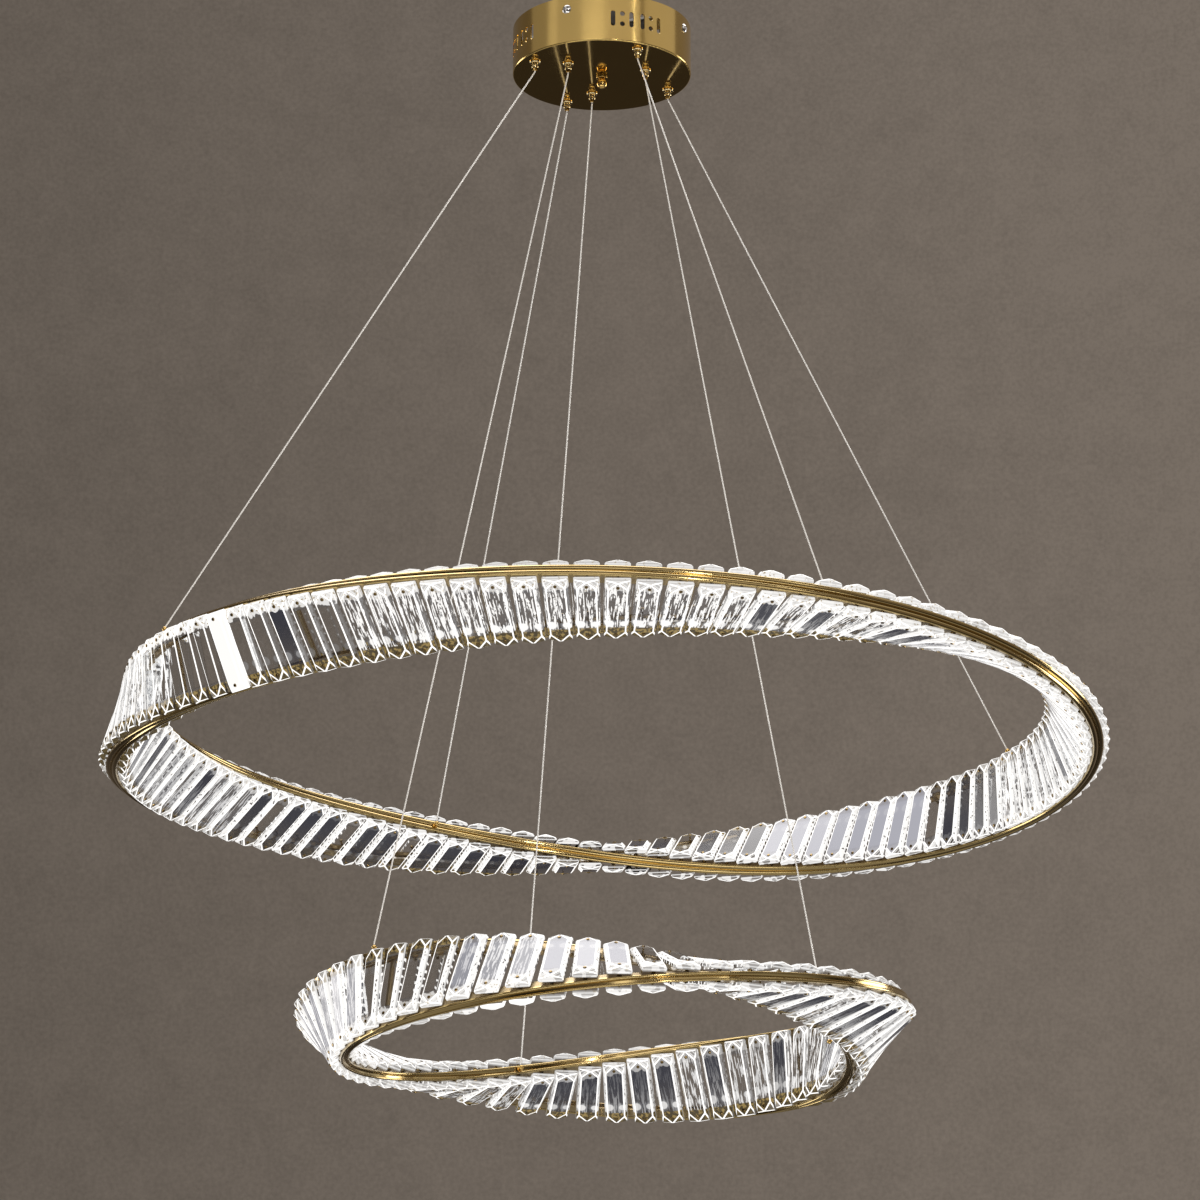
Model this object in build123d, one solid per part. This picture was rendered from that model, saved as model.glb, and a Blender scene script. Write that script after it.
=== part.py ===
"""Ceiling chandelier: two twisted crystal bands hung on steel wires below a round canopy.

Millimetres, +Z up. The origin is on the ceiling, at the middle of the bracket's top face.
Azimuths are in degrees about +Z from +X, and the front of the lamp is at 270.
"""
import os
from dataclasses import dataclass
from math import cos, degrees, radians, sin

from build123d import *

# Canopy, a spun drum that is open towards the ceiling
canopy_radius = 90.0
canopy_height = 50.0
canopy_wall = 1.5
canopy_edge_round = 1.4
canopy_ceiling_gap = 0.5

# Vents: groups of two units, each unit a pair of slots with two holes between them
vent_groups = 4
vent_azimuth = 293.0
vent_rise = 24.0
vent_slot_length = 16.5
vent_slot_width = 4.5
vent_hole_diameter = 5.0
vent_hole_spacing = 11.0
vent_unit_spacing = 31.0
vent_slot_spacing = 19.0

# Bracket and the side screws that hold the canopy to it
side_screws = 4
side_screw_azimuth = 247.0
side_screw_rise = 36.5
side_screw_diameter = 4.0
side_screw_length = 8.0
side_head_diameter = 9.5
side_head_height = 2.6
side_hole_clearance = 0.3
slot_length = 5.7
slot_width = 1.2
slot_depth = 1.2
bracket_width = 30.0
bracket_thickness = 2.5
bracket_wall_gap = 0.6
bracket_tab_thickness = 2.5
bracket_tab_below_screw = 8.0
bracket_tab_width = 18.0
bracket_hole_clearance = 0.1
ceiling_hole_diameter = 5.5
ceiling_hole_circle = 140.0

# Power supplies and terminal block, hung under the bracket
driver_length = 108.0
driver_width = 30.0
driver_height = 15.0
driver_spacing = 34.0
driver_round = 2.0
terminal_length = 26.0
terminal_width = 18.0
terminal_height = 14.0
terminal_reach = 36.0
terminal_ways = 3
terminal_screw_diameter = 4.0
terminal_screw_depth = 4.0

# Finial in the middle of the canopy's underside
finial_base_diameter = 11.5
finial_base_height = 3.0
finial_neck_diameter = 6.0
finial_neck_height = 1.0
finial_ball_diameter = 10.5
finial_ball_drop = 4.6
finial_stud_diameter = 6.0
finial_stud_length = 9.0
finial_nut_width = 10.0
finial_nut_height = 5.0

# Wire grippers: barrels through the canopy, each with a spring collar that frees its wire
outer_gripper_circle = 152.0
outer_gripper_azimuths = (28.0, 118.0, 208.0, 298.0)
inner_gripper_circle = 92.0
inner_gripper_azimuths = (102.6, 222.6, 342.6)
gripper_flange_diameter = 11.0
gripper_flange_thickness = 1.8
gripper_barrel_diameter = 6.6
gripper_barrel_below = 7.0
gripper_barrel_above = 18.0
gripper_hole_clearance = 0.2
gripper_nut_width = 10.0
gripper_nut_height = 4.0
gripper_wire_bore = 1.9
plunger_diameter = 4.4
plunger_out = 3.0
plunger_stroke = 2.0
plunger_grip = 7.0
plunger_chamfer = 0.4
plunger_clearance = 0.1
plunger_end_clearance = 0.5

# Suspension wires
wire_diameter = 1.4
wire_tail_above = 8.0
wire_gap = 0.15

# Upper ring
upper_radius = 458.0
upper_drop = 695.0
upper_crystals = 112
upper_sectors = 16
upper_trim_arcs = 8
upper_edge_half_height = 5.6
upper_twist_front = 65.6
upper_twist_sway = ((1, -4.5, -3.4), (2, 1.0, 3.3), (3, -5.0, -2.0))
upper_wave = 4.6
upper_wave_peak = -32.0
upper_anchors = ((26.0, -1), (114.5, 1), (209.0, 1), (301.0, -1))

# Lower ring
lower_radius = 262.0
lower_drop = 985.0
lower_crystals = 60
lower_sectors = 12
lower_trim_arcs = 4
lower_edge_half_height = 4.2
lower_twist_front = 123.9
lower_twist_sway = ((1, 5.3, 0.1), (2, -0.8, -2.9))
lower_wave = 2.3
lower_wave_peak = 64.0
lower_anchors = ((111.5, 1), (216.0, -1), (343.0, -1))

# Band: two channels joined by slim rungs, edged with a grooved trim
band_half_width = 36.8
channel_depth = 9.3
channel_inset = 0.4
channel_sheet = 1.2
rung_thickness = 3.0
rung_height = 3.4
rung_bite = 0.5
rung_end_gap = 0.5
trim_thickness = 2.8
trim_groove_half_width = 1.1
trim_groove_floor_half_width = 0.3
trim_groove_depth = 1.1
trim_edge_chamfer = 0.7
led_strip_width = 5.0
led_strip_thickness = 1.5
seam_gap = 0.25
seat_gap = 0.1

# Crystal bars, which lie flat beside the twisted channels
crystal_length = 75.0
crystal_width = 23.0
crystal_thickness = 7.6
crystal_side_height = 4.2
crystal_bevel = 3.0
crystal_point = 9.0
crystal_clearance = 0.3

# Anchors on the rings, one for each wire
anchor_foot_diameter = 5.6
anchor_foot_height = 1.0
anchor_neck_diameter = 2.8
anchor_reach = 4.8
anchor_ball_diameter = 4.6

# Shape of the lofts: how many sections each stretch of band is drawn through
sections_per_sector = 5
trim_sections_per_turn = 72

canopy_bottom = -canopy_height
plate_top = canopy_bottom + canopy_wall
canopy_inner_radius = canopy_radius - canopy_wall
barrel_bottom = canopy_bottom - gripper_barrel_below
barrel_top = plate_top + gripper_barrel_above
plunger_bottom = barrel_bottom - plunger_out
plunger_top = barrel_bottom + plunger_grip
wire_mouth = plunger_bottom - wire_gap - wire_diameter / 2


@dataclass
class Ring:
    """One twisted band: its circle, its twist and the wires that carry it."""

    name: str
    radius: float
    drop: float
    crystals: int
    sectors: int
    trim_arcs: int
    edge_half_height: float
    twist_front: float
    twist_sense: int
    twist_sway: tuple
    wave: float
    wave_peak: float
    anchors: tuple

    @property
    def channel_half_height(self):
        return self.edge_half_height - channel_inset


upper_ring = Ring(
    "upper", upper_radius, upper_drop, upper_crystals, upper_sectors, upper_trim_arcs,
    upper_edge_half_height, upper_twist_front, 1, upper_twist_sway, upper_wave, upper_wave_peak, upper_anchors)
lower_ring = Ring(
    "lower", lower_radius, lower_drop, lower_crystals, lower_sectors, lower_trim_arcs,
    lower_edge_half_height, lower_twist_front, -1, lower_twist_sway, lower_wave, lower_wave_peak, lower_anchors)


def around(azimuth, radius, height=0.0):
    """The point at an azimuth, a distance from the axis and a height."""
    return Vector(radius * cos(radians(azimuth)), radius * sin(radians(azimuth)), height)


def cylinder(diameter, bottom, top, point=Vector(0, 0, 0)):
    """A vertical cylinder between two heights."""
    solid = Cylinder(diameter / 2, top - bottom, align=(Align.CENTER, Align.CENTER, Align.MIN))
    return Location((point.X, point.Y, bottom)) * solid


def hexagon_nut(across_flats, bore, bottom, height, point=Vector(0, 0, 0)):
    """A hexagon nut with a plain bore, standing on a height."""
    outline = RegularPolygon(across_flats / 2, 6, major_radius=False)
    solid = extrude(outline, height) - Cylinder(bore / 2, 3 * height)
    return Location((point.X, point.Y, bottom)) * solid


def save(name, shapes):
    """Write one sub-part, which may be several separate solids."""
    solids = []
    for shape in shapes:
        solids.extend(shape.solids())
    export_step(Compound(solids), f"parts/{name}.step")
    print(name, len(solids), "solids")


# The twisted band: every ring piece is placed by these functions


def twist(ring, azimuth):
    """The band's turn about its own centreline: 90 lays the width flat, pointing outwards."""
    lap = azimuth - 270.0
    angle = ring.twist_front + ring.twist_sense * lap
    for waves, sine_part, cosine_part in ring.twist_sway:
        angle += sine_part * sin(radians(waves * lap))
        angle += cosine_part * (cos(radians(waves * lap)) - 1)
    return radians(angle)


def station(ring, azimuth):
    """The plane across the band: X runs across its width and Y through its thickness."""
    turn = twist(ring, azimuth)
    outward = around(azimuth, 1.0)
    up = Vector(0, 0, 1)
    width_way = outward * sin(turn) + up * cos(turn)
    along = Vector(-sin(radians(azimuth)), cos(radians(azimuth)), 0)
    height = canopy_bottom - ring.drop
    height += ring.wave * cos(radians(2 * (azimuth - ring.wave_peak)))
    return Plane(origin=around(azimuth, ring.radius, height), x_dir=width_way, z_dir=along)


def stretch(ring, outline, start, end, sections):
    """A piece with one cross-section that follows the band between two azimuths."""
    margin = degrees(seam_gap / 2 / ring.radius)
    faces = []
    for step in range(sections):
        azimuth = start + margin + (end - start - 2 * margin) * step / (sections - 1)
        plane = station(ring, azimuth)
        corners = [plane.from_local_coords((x, y, 0)) for x, y in outline]
        faces.append(Face(Wire.make_polygon(corners, close=True)))
    return loft(faces)


def channel_outline(ring, side):
    """A C channel, open towards the middle of the band."""
    web = band_half_width - channel_sheet
    lip = band_half_width - channel_depth
    outside = ring.channel_half_height
    inside = outside - channel_sheet
    points = [
        (lip, outside), (lip, inside), (web, inside), (web, -inside), (lip, -inside),
        (lip, -outside), (band_half_width, -outside), (band_half_width, outside)]
    return [(side * x, y) for x, y in points]


def trim_outline(ring, side):
    """Two wide beads with a narrow groove between them, over the back of a channel."""
    back = band_half_width + seat_gap
    front = back + trim_thickness
    edge = ring.edge_half_height
    half = [
        (back, edge), (front - trim_edge_chamfer, edge), (front, edge - trim_edge_chamfer),
        (front, trim_groove_half_width), (front - trim_groove_depth, trim_groove_floor_half_width)]
    points = half + [(x, -y) for x, y in reversed(half)]
    return [(side * x, y) for x, y in points]


def led_outline(side):
    """A flat light strip on the inside of a channel's web."""
    back = band_half_width - channel_sheet - seat_gap
    front = back - led_strip_thickness
    half = led_strip_width / 2
    return [(side * back, half), (side * front, half), (side * front, -half), (side * back, -half)]


def rung(ring, azimuth):
    """A slim bar across the band, whose taller ends are let into both channels."""
    reach = band_half_width - channel_sheet - led_strip_thickness - seat_gap - rung_end_gap
    lip = band_half_width - channel_depth
    end_height = 2 * (ring.channel_half_height - channel_sheet + rung_bite)
    bar = Box(2 * reach, rung_height, rung_thickness)
    for side in (1, -1):
        end = Box(reach - lip, end_height, rung_thickness)
        bar = bar + Location((side * (reach + lip) / 2, 0, 0)) * end
    return station(ring, azimuth).location * bar


def frame_sector(ring, index):
    """One welded length of the frame: two channels and a rung behind a crystal gap."""
    span = 360.0 / ring.sectors
    pitch = 360.0 / ring.crystals
    start = 270.0 + index * span
    channels = [
        stretch(ring, channel_outline(ring, side), start, start + span, sections_per_sector)
        for side in (1, -1)]
    middle_gap = ring.crystals // ring.sectors // 2
    return channels[0] + rung(ring, start + middle_gap * pitch) + channels[1]


def ring_frame(ring):
    return [frame_sector(ring, index) for index in range(ring.sectors)]


def ring_trim(ring, side):
    """The trim's arcs, whose seams lie half an arc away from the front."""
    span = 360.0 / ring.trim_arcs
    first = 270.0 + span / 4
    return [
        stretch(ring, trim_outline(ring, side), first + arc * span, first + (arc + 1) * span,
                trim_sections_per_turn // ring.trim_arcs)
        for arc in range(ring.trim_arcs)]


def ring_leds(ring, side):
    """The light strip inside one channel, cut at each seam of the frame."""
    span = 360.0 / ring.sectors
    return [
        stretch(ring, led_outline(side), 270.0 + index * span, 270.0 + (index + 1) * span,
                sections_per_sector)
        for index in range(ring.sectors)]


# Crystal bars


def crystal_seat(ring, azimuth):
    """How far a flat bar stands off the band's middle so that it clears the twisted edges."""
    half_span = degrees(crystal_width / 2 / (ring.radius - band_half_width))
    turns = [twist(ring, azimuth + edge) - twist(ring, azimuth) for edge in (-half_span, half_span)]
    lift = crystal_length / 2 * sin(max(abs(turn) for turn in turns))
    return ring.edge_half_height + lift + crystal_clearance


def crystal_bar():
    """A bar lying on the XZ plane: pointed flat on top, bevelled sides and corner facets."""
    top = crystal_thickness
    shoulder = crystal_side_height
    half_length = crystal_length / 2
    half_width = crystal_width / 2
    flat = half_width - crystal_bevel
    bar = Box(crystal_length, crystal_thickness, crystal_width)
    bar = Location((0, top / 2, 0)) * bar
    middle = Vector(0, top / 2, 0)
    for across in (1, -1):
        shoulder_end = Vector(half_length, shoulder, across * half_width)
        flat_corner = Vector(half_length - crystal_point, top, across * flat)
        flat_middle = Vector(0, top, across * flat)
        bar = keep_side(bar, shoulder_end, flat_corner, flat_middle, middle)
        for along in (1, -1):
            tip = Vector(along * half_length, top, 0)
            corner = Vector(along * half_length, shoulder, across * half_width)
            flat_end = Vector(along * (half_length - crystal_point), top, across * flat)
            bar = keep_side(bar, tip, corner, flat_end, middle)
    return bar


def keep_side(solid, first, second, third, inside):
    """Cut a solid by the plane through three points, keeping the side a point is on."""
    normal = (second - first).cross(third - first).normalized()
    if normal.dot(inside - first) > 0:
        normal = normal * -1
    return split(solid, bisect_by=Plane(origin=first, z_dir=normal), keep=Keep.BOTTOM)


def ring_crystals(ring, face):
    """A bar at every station of one face of the band."""
    turned = Rotation(0 if face == 1 else 180, 0, 0)
    bar = crystal_bar()
    bars = []
    for index in range(ring.crystals):
        azimuth = 270.0 + (index + 0.5) * 360.0 / ring.crystals
        seat = Location((0, crystal_seat(ring, azimuth), 0))
        bars.append(station(ring, azimuth).location * turned * seat * bar)
    return bars


# Wires, with their anchors on the rings and their grippers in the canopy


def anchor_plane(ring, anchor):
    """The frame of an anchor: X points straight off the edge of the band."""
    azimuth, side = anchor
    plane = station(ring, azimuth)
    return Plane(origin=plane.origin, x_dir=plane.x_dir * side, z_dir=plane.z_dir)


def anchor_ball_centre(ring, anchor):
    edge = band_half_width + seat_gap + trim_thickness + seat_gap
    return anchor_plane(ring, anchor).from_local_coords((edge + anchor_reach, 0, 0))


def ring_anchor(ring, anchor):
    """A ball on a neck and foot, fixed to the edge trim."""
    edge = band_half_width + seat_gap + trim_thickness + seat_gap
    post = cylinder(anchor_foot_diameter, edge, edge + anchor_foot_height)
    post = post + cylinder(anchor_neck_diameter, edge, edge + anchor_reach)
    post = post + Location((0, 0, edge + anchor_reach)) * Sphere(anchor_ball_diameter / 2)
    return anchor_plane(ring, anchor).location * (Rotation(0, 90, 0) * post)


def gripper_points(ring):
    """Where a ring's grippers stand on the canopy, in the order of its anchors."""
    if ring.name == "upper":
        return [around(azimuth, outer_gripper_circle / 2) for azimuth in outer_gripper_azimuths]
    return [around(azimuth, inner_gripper_circle / 2) for azimuth in inner_gripper_azimuths]


def hanging_wire(ring, point, anchor):
    """The straight wire from a gripper's mouth to the ball on the ring."""
    top = Vector(point.X, point.Y, wire_mouth)
    ball = anchor_ball_centre(ring, anchor)
    way = (ball - top).normalized()
    length = (ball - top).length - anchor_ball_diameter / 2 - wire_gap - wire_diameter / 2
    start = top + way * (wire_diameter / 2)
    wire = Cylinder(wire_diameter / 2, length, align=(Align.CENTER, Align.CENTER, Align.MIN))
    return Plane(origin=start, z_dir=way).location * wire


def gripper_barrel(point):
    """A flanged barrel through the canopy, bored for its wire and collar."""
    flange_bottom = canopy_bottom - gripper_flange_thickness
    barrel = cylinder(gripper_barrel_diameter, barrel_bottom, barrel_top, point)
    barrel = barrel + cylinder(gripper_flange_diameter, flange_bottom, canopy_bottom, point)
    pocket_top = plunger_top + plunger_stroke + plunger_end_clearance
    pocket_diameter = plunger_diameter + 2 * plunger_clearance
    barrel = barrel - cylinder(pocket_diameter, barrel_bottom - 1, pocket_top, point)
    return barrel - cylinder(gripper_wire_bore, barrel_bottom - 1, barrel_top + 1, point)


def gripper_plunger(point):
    """The release collar at the mouth of a gripper."""
    plunger = cylinder(plunger_diameter, plunger_bottom, plunger_top, point)
    plunger = chamfer(plunger.edges().group_by(Axis.Z)[0], plunger_chamfer)
    return plunger - cylinder(gripper_wire_bore, plunger_bottom - 1, plunger_top + 1, point)


def gripper_nut(point):
    bore = gripper_barrel_diameter + gripper_hole_clearance
    return hexagon_nut(gripper_nut_width, bore, plate_top, gripper_nut_height, point)


def wire_tail(point):
    """The end of a wire that stands up through its gripper into the canopy."""
    return cylinder(wire_diameter, wire_mouth + wire_gap, barrel_top + wire_tail_above, point)


# Canopy


def wall_plane(azimuth, rise, radius):
    """A frame on the canopy's side: X points up, Z points outwards."""
    origin = around(azimuth, radius, canopy_bottom + rise)
    return Plane(origin=origin, x_dir=(0, 0, 1), z_dir=around(azimuth, 1.0))


def vent_cutters(azimuth):
    """One group of vents: two units of slot, two holes, slot."""
    cutters = []
    depth = 4 * canopy_wall
    for unit in (-0.5, 0.5):
        unit_azimuth = azimuth + degrees(unit * vent_unit_spacing / canopy_radius)
        for step in (-0.5, 0.5):
            slot_azimuth = unit_azimuth + degrees(step * vent_slot_spacing / canopy_radius)
            slot = extrude(SlotOverall(vent_slot_length, vent_slot_width), depth, both=True)
            cutters.append(wall_plane(slot_azimuth, vent_rise, canopy_radius).location * slot)
            hole = Cylinder(vent_hole_diameter / 2, 2 * depth)
            hole_rise = vent_rise + step * vent_hole_spacing
            cutters.append(wall_plane(unit_azimuth, hole_rise, canopy_radius).location * hole)
    return cutters


def screw_azimuths():
    return [side_screw_azimuth + index * 360.0 / side_screws for index in range(side_screws)]


def canopy_shell():
    shell = cylinder(2 * canopy_radius, canopy_bottom, -canopy_ceiling_gap)
    shell = fillet(shell.edges().group_by(Axis.Z)[0], canopy_edge_round)
    shell = shell - cylinder(2 * canopy_inner_radius, plate_top, 1.0)
    cutters = []
    for group in range(vent_groups):
        cutters.extend(vent_cutters(vent_azimuth + group * 360.0 / vent_groups))
    for azimuth in screw_azimuths():
        hole = Cylinder(side_screw_diameter / 2 + side_hole_clearance, 8 * canopy_wall)
        cutters.append(wall_plane(azimuth, side_screw_rise, canopy_radius).location * hole)
    hole_diameter = gripper_barrel_diameter + gripper_hole_clearance
    for ring in (upper_ring, lower_ring):
        for point in gripper_points(ring):
            cutters.append(cylinder(hole_diameter, canopy_bottom - 1, plate_top + 1, point))
    stud_hole = finial_stud_diameter + gripper_hole_clearance
    cutters.append(cylinder(stud_hole, canopy_bottom - 1, plate_top + 1))
    return shell - cutters


def ceiling_bracket():
    """A cross of two straps with a turned-down tab behind each side screw."""
    tab_outside = canopy_inner_radius - bracket_wall_gap
    tab_inside = tab_outside - bracket_tab_thickness
    tab_bottom = canopy_bottom + side_screw_rise - bracket_tab_below_screw
    bracket = None
    for azimuth in screw_azimuths():
        strap = Box(tab_outside, bracket_width, bracket_thickness,
                    align=(Align.MIN, Align.CENTER, Align.MAX))
        tab = Box(bracket_tab_thickness, bracket_tab_width, -tab_bottom,
                  align=(Align.MIN, Align.CENTER, Align.MAX))
        arm = strap + Location((tab_inside, 0, 0)) * tab
        arm = Rotation(0, 0, azimuth) * arm
        bracket = arm if bracket is None else bracket + arm
    round_blank = cylinder(2 * tab_outside, tab_bottom - 1, 1.0)
    bracket = bracket & round_blank
    for azimuth in screw_azimuths():
        ceiling_hole = cylinder(ceiling_hole_diameter, -2 * bracket_thickness, 1.0,
                                around(azimuth, ceiling_hole_circle / 2))
        side_hole = Cylinder(side_screw_diameter / 2 + bracket_hole_clearance,
                             6 * bracket_tab_thickness)
        bracket = bracket - ceiling_hole
        bracket = bracket - wall_plane(azimuth, side_screw_rise, tab_inside).location * side_hole
    return bracket


def side_screw(azimuth):
    """A dome-headed screw with a cross slot."""
    dome_radius = (side_head_diameter ** 2 / 4 + side_head_height ** 2) / (2 * side_head_height)
    dome = Location((0, 0, side_head_height - dome_radius)) * Sphere(dome_radius)
    screw = dome & cylinder(side_head_diameter, seat_gap, side_head_height + 1)
    for quarter in (0, 90):
        slot = Box(slot_length, slot_width, 2 * slot_depth)
        screw = screw - Location((0, 0, side_head_height)) * (Rotation(0, 0, quarter) * slot)
    screw = screw + cylinder(side_screw_diameter, -side_screw_length, 2 * seat_gap)
    return wall_plane(azimuth, side_screw_rise, canopy_radius).location * screw


def under_bracket(length, width, height, along, across):
    """A box that hangs under the bracket, aligned with its first strap."""
    box = Box(length, width, height, align=(Align.CENTER, Align.CENTER, Align.MAX))
    return Rotation(0, 0, side_screw_azimuth) * (Location((along, across, -bracket_thickness)) * box)


def led_driver(side):
    """A sealed power supply with rounded upright edges."""
    case = under_bracket(driver_length, driver_width, driver_height, 0, side * driver_spacing / 2)
    return fillet(case.edges().filter_by(Axis.Z), driver_round)


def terminal_block():
    """A block with a row of clamp screws in its underside."""
    across = terminal_reach + terminal_width / 2
    block = under_bracket(terminal_length, terminal_width, terminal_height, 0, across)
    bottom = -bracket_thickness - terminal_height
    for way in range(terminal_ways):
        along = (way - (terminal_ways - 1) / 2) * terminal_length / terminal_ways
        well = cylinder(terminal_screw_diameter, bottom - 1, bottom + terminal_screw_depth)
        block = block - Rotation(0, 0, side_screw_azimuth) * (Location((along, across, 0)) * well)
    return block


def finial():
    """A collar with a ball below it and a stud through the canopy above it."""
    base_bottom = canopy_bottom - finial_base_height
    neck_bottom = base_bottom - finial_neck_height
    ball_centre = neck_bottom - finial_ball_drop
    shape = cylinder(finial_base_diameter, base_bottom, canopy_bottom)
    shape = fillet(shape.edges().group_by(Axis.Z)[0], finial_neck_height / 2)
    shape = shape + cylinder(finial_neck_diameter, ball_centre, canopy_bottom)
    shape = shape + Location((0, 0, ball_centre)) * Sphere(finial_ball_diameter / 2)
    return shape + cylinder(finial_stud_diameter, canopy_bottom, plate_top + finial_stud_length)


def finial_nut():
    bore = finial_stud_diameter + gripper_hole_clearance
    return hexagon_nut(finial_nut_width, bore, plate_top, finial_nut_height)


def write_canopy():
    points = gripper_points(upper_ring) + gripper_points(lower_ring)
    save("canopy_shell", [canopy_shell()])
    save("ceiling_bracket", [ceiling_bracket()])
    save("side_screws", [side_screw(azimuth) for azimuth in screw_azimuths()])
    save("upper_led_driver", [led_driver(1)])
    save("lower_led_driver", [led_driver(-1)])
    save("terminal_block", [terminal_block()])
    save("finial", [finial()])
    save("finial_nut", [finial_nut()])
    save("gripper_barrels", [gripper_barrel(point) for point in points])
    save("gripper_nuts", [gripper_nut(point) for point in points])
    save("wire_tails", [wire_tail(point) for point in points])


def write_suspension(ring):
    """Each wire and each release collar is a sub-part of its own."""
    for index, point in enumerate(gripper_points(ring)):
        save(f"{ring.name}_plunger_{index + 1}", [gripper_plunger(point)])
        save(f"{ring.name}_wire_{index + 1}", [hanging_wire(ring, point, ring.anchors[index])])


def write_ring(ring):
    save(f"{ring.name}_frame", ring_frame(ring))
    for side, edge in ((1, "a"), (-1, "b")):
        save(f"{ring.name}_trim_{edge}", ring_trim(ring, side))
        save(f"{ring.name}_led_strip_{edge}", ring_leds(ring, side))
    for face, label in ((1, "front"), (-1, "back")):
        save(f"{ring.name}_crystals_{label}", ring_crystals(ring, face))
    save(f"{ring.name}_anchors", [ring_anchor(ring, anchor) for anchor in ring.anchors])


os.makedirs("parts", exist_ok=True)
write_canopy()
for each_ring in (upper_ring, lower_ring):
    write_suspension(each_ring)
    write_ring(each_ring)
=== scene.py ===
"""The finish of a crystal ring chandelier: polished gold, cut crystal, warm light strips."""
import math
import random
from dataclasses import dataclass

import bmesh
import bpy
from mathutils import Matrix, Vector


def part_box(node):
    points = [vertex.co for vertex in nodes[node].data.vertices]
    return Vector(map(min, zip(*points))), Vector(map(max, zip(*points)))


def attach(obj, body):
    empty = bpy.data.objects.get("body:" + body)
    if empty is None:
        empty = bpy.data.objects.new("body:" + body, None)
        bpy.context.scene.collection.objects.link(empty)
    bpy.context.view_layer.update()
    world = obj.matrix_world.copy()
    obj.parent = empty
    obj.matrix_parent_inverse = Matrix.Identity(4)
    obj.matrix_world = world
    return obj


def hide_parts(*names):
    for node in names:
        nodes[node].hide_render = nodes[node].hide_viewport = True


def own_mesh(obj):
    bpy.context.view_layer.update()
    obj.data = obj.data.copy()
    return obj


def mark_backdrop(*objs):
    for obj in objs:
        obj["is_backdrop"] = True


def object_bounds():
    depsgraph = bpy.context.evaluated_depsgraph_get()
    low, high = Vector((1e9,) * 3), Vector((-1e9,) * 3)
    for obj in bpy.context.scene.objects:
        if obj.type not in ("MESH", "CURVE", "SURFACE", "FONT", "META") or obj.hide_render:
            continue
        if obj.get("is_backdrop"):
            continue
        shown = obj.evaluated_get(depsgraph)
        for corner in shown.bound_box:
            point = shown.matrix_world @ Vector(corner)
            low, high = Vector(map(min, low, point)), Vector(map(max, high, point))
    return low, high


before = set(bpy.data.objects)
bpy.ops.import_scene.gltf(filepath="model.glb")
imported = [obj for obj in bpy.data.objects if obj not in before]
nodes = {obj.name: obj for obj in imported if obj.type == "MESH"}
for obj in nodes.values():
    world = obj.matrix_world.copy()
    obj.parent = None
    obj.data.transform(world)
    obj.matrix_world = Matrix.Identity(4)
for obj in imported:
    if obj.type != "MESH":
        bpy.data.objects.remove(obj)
cad_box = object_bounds()

# The lamp's own lengths are in millimetres and the studio's in metres; angles are in degrees.
mm = 0.001
front_azimuth = 270
canopy_bottom = -50.0
sharp_edge = 40


# Camera: it stands below the lower ring and looks up past both rings to the canopy.
# The long lens keeps the two rings nearly the same shape from front to back.
camera_back = 4614 * mm
camera_left = 1.9 * mm
camera_below_ceiling = 2042 * mm
camera_tilt = 17.3
camera_lens = 148.3

camera_data = bpy.data.cameras.new("camera")
camera_data.lens = camera_lens
camera_data.clip_end = 60
camera = bpy.data.objects.new("camera", camera_data)
camera.location = (-camera_left, -camera_back, -camera_below_ceiling)
camera.rotation_euler = (math.radians(90 + camera_tilt), 0, 0)
bpy.context.collection.objects.link(camera)
bpy.context.scene.camera = camera
bpy.context.scene.view_settings.view_transform = "Standard"


# Studio: a round plaster wall in warm grey with a pale floor, and soft panels of light.
# Wall and floor give off their own light, so they stay plain behind the clear crystal bars.
wall_radius = 11.0
wall_top = 9.0
wall_sides = 96
floor_depth = 3.4
wall_grey = (0.158, 0.131, 0.108)
wall_glow = 1.2
wall_left_share = 0.62
wall_foot_share = 0.28
wall_across = (-2.6, 2.6)
wall_lift = (-4.0, 0.2)
floor_pale = (0.52, 0.50, 0.47)
floor_glow = 0.7
floor_edge_share = 0.28
floor_fade = (3.6, 7.4)
panel_aim = (0, 0, -0.75)
panel_tint = (1, 0.97, 0.93)
# Size in metres, detail and strength of each layer of the plaster's mottle, and what is under them.
mottle_layers = ((0.9, 6.0, 0.16), (0.12, 6.0, 0.24), (0.013, 2.0, 0.40))
mottle_base = 0.60


class Wire:
    """A socket of a node tree that takes part in sums as an ordinary number does."""

    def __init__(self, tree, socket):
        self.tree = tree
        self.socket = socket

    def reckon(self, operation, *values):
        return self.tree.add("Math", {"operation": operation}, dict(enumerate(values)))

    def __add__(self, other):
        return self.reckon("ADD", self, other)

    def __sub__(self, other):
        return self.reckon("SUBTRACT", self, other)

    def __mul__(self, other):
        return self.reckon("MULTIPLY", self, other)

    def __rsub__(self, other):
        return self.reckon("SUBTRACT", other, self)

    def size(self):
        return self.reckon("ABSOLUTE", self)

    def root(self):
        return self.reckon("SQRT", self)

    def to_and_fro(self, reach):
        """Run from nothing up to the reach and back again, over and over."""
        return self.reckon("PINGPONG", self, reach)

    __radd__ = __add__


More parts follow.
